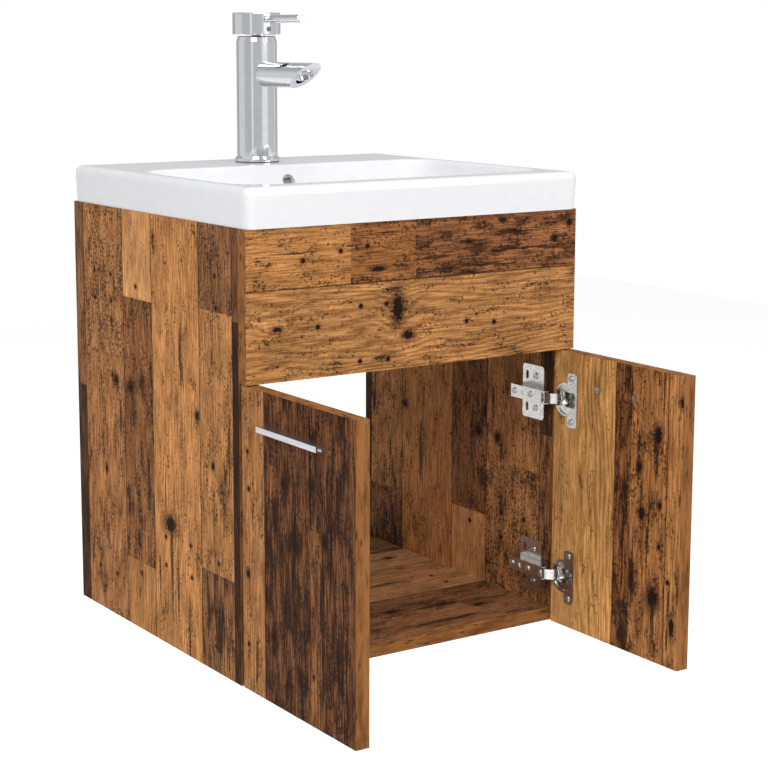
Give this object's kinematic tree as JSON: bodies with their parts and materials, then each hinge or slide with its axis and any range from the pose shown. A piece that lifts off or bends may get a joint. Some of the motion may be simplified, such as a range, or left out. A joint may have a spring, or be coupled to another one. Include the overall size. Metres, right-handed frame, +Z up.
{
  "type": "wall-hung bathroom vanity unit",
  "caption": "Wall-hung bathroom vanity: a laminated board cabinet with swinging doors on concealed hinges under a ceramic basin with a single-lever mixer tap and waste.",
  "frame": {"origin": "midway between the two wall screw holes, on the back face of the hanging rail, which is the wall's plane", "axes": "+Z up, +Y into the wall, +X to the right as seen from the room; doors stand open at rest"},
  "size_m": [0.432, 0.5765, 0.6694],
  "materials": {
    "wood_board": "reclaimed-plank laminate, satin",
    "dowel_wood": "plain beech",
    "basin_ceramic": "gloss glaze",
    "polished_chrome": "polished",
    "nickel_steel": "nickel plated, satin",
    "screw_steel": "zinc plated",
    "zinc_fitting": "die-cast zinc, matt",
    "handle_aluminium": "satin anodised",
    "brass_body": "machined",
    "seal_rubber": "matt",
    "cartridge_plastic": "matt",
    "index_plastic": "matt"
  },
  "bodies": {
    "cabinet": {"left_side_panel": "wood_board", "right_side_panel": "wood_board", "bottom_panel": "wood_board", "front_panel": "wood_board", "hanging_rail": "wood_board", "cam_bolts": "zinc_fitting", "cam_locks": "zinc_fitting", "wood_dowels": "dowel_wood", "left_upper_hinge_plate": "nickel_steel", "left_upper_hinge_arm": "nickel_steel", "left_lower_hinge_plate": "nickel_steel", "left_lower_hinge_arm": "nickel_steel", "right_upper_hinge_plate": "nickel_steel", "right_upper_hinge_arm": "nickel_steel", "right_lower_hinge_plate": "nickel_steel", "right_lower_hinge_arm": "nickel_steel", "hinge_plate_screws": "screw_steel", "hinge_arm_screws": "screw_steel", "hinge_arm_pins": "screw_steel", "basin": "basin_ceramic", "tap_body": "polished_chrome", "tap_spout": "polished_chrome", "tap_gasket": "seal_rubber", "tap_aerator": "polished_chrome", "tap_cartridge": "cartridge_plastic", "cartridge_nut": "brass_body", "tap_stud": "screw_steel", "tap_fixing_washer": "screw_steel", "tap_fixing_nut": "brass_body", "waste_body": "polished_chrome", "waste_seal": "seal_rubber", "waste_nut": "brass_body"},
    "left_outer_links": {"left_upper_outer_link": "nickel_steel", "left_lower_outer_link": "nickel_steel"},
    "left_door": {"left_door": "wood_board", "left_upper_hinge_cup": "nickel_steel", "left_lower_hinge_cup": "nickel_steel", "left_cup_screws": "screw_steel", "left_cup_pins": "screw_steel", "left_handle": "handle_aluminium", "left_handle_screws": "screw_steel"},
    "left_inner_links": {"left_upper_inner_link": "nickel_steel", "left_lower_inner_link": "nickel_steel"},
    "right_outer_links": {"right_upper_outer_link": "nickel_steel", "right_lower_outer_link": "nickel_steel"},
    "right_door": {"right_door": "wood_board", "right_upper_hinge_cup": "nickel_steel", "right_lower_hinge_cup": "nickel_steel", "right_cup_screws": "screw_steel", "right_cup_pins": "screw_steel", "right_handle": "handle_aluminium", "right_handle_screws": "screw_steel"},
    "right_inner_links": {"right_upper_inner_link": "nickel_steel", "right_lower_inner_link": "nickel_steel"},
    "tap_spindle": {"tap_spindle": "cartridge_plastic"},
    "tap_lever": {"lever_cap": "polished_chrome", "lever_rod": "polished_chrome", "lever_stem": "brass_body", "index_plug": "index_plastic"},
    "waste_plug": {"waste_plug": "polished_chrome"}
  },
  "joints": [
    {"name": "right_link_swing", "type": "hinge", "parent": "cabinet", "child": "right_outer_links", "pos_m": [0.17719, -0.37098, -0.265], "axis": [0, 0, 1], "range_deg": [-3.52, 31.64]},
    {"name": "right_door_swing", "type": "hinge", "parent": "right_outer_links", "child": "right_door", "pos_m": [0.19077, -0.38263, -0.265], "axis": [0, 0, 1], "range_deg": [-121.64, 13.52]},
    {"name": "right_inner_link_swing", "type": "hinge", "parent": "right_door", "child": "right_inner_links", "pos_m": [0.1935, -0.38046, -0.265], "axis": [0, 0, 1], "range_deg": [-11.65, 104.82]},
    {"name": "left_link_swing", "type": "hinge", "parent": "cabinet", "child": "left_outer_links", "pos_m": [-0.17719, -0.37098, -0.265], "axis": [0, 0, -1], "range_deg": [-3.52, 31.64]},
    {"name": "left_door_swing", "type": "hinge", "parent": "left_outer_links", "child": "left_door", "pos_m": [-0.19077, -0.38263, -0.265], "axis": [0, 0, -1], "range_deg": [-121.64, 13.52]},
    {"name": "left_inner_link_swing", "type": "hinge", "parent": "left_door", "child": "left_inner_links", "pos_m": [-0.1935, -0.38046, -0.265], "axis": [0, 0, -1], "range_deg": [-11.65, 104.82]},
    {"name": "tap_swivel", "type": "hinge", "parent": "cabinet", "child": "tap_spindle", "pos_m": [0, -0.059, 0.2], "axis": [0, 0, 1], "range_deg": [-50, 50]},
    {"name": "lever_lift", "type": "hinge", "parent": "tap_spindle", "child": "tap_lever", "pos_m": [0, -0.059, 0.213], "axis": [-1, 0, 0], "range_deg": [0, 20]},
    {"name": "plug_lift", "type": "slide", "parent": "cabinet", "child": "waste_plug", "axis": [0, 0, 1], "range_m": [0, 0.008]}
  ],
  "couplings": [
    {"joint": "right_link_swing", "follows": "right_door_swing", "ratio": -0.26009},
    {"joint": "right_inner_link_swing", "follows": "right_door_swing", "ratio": -0.86176},
    {"joint": "left_link_swing", "follows": "left_door_swing", "ratio": -0.26009},
    {"joint": "left_inner_link_swing", "follows": "left_door_swing", "ratio": -0.86176}
  ]
}
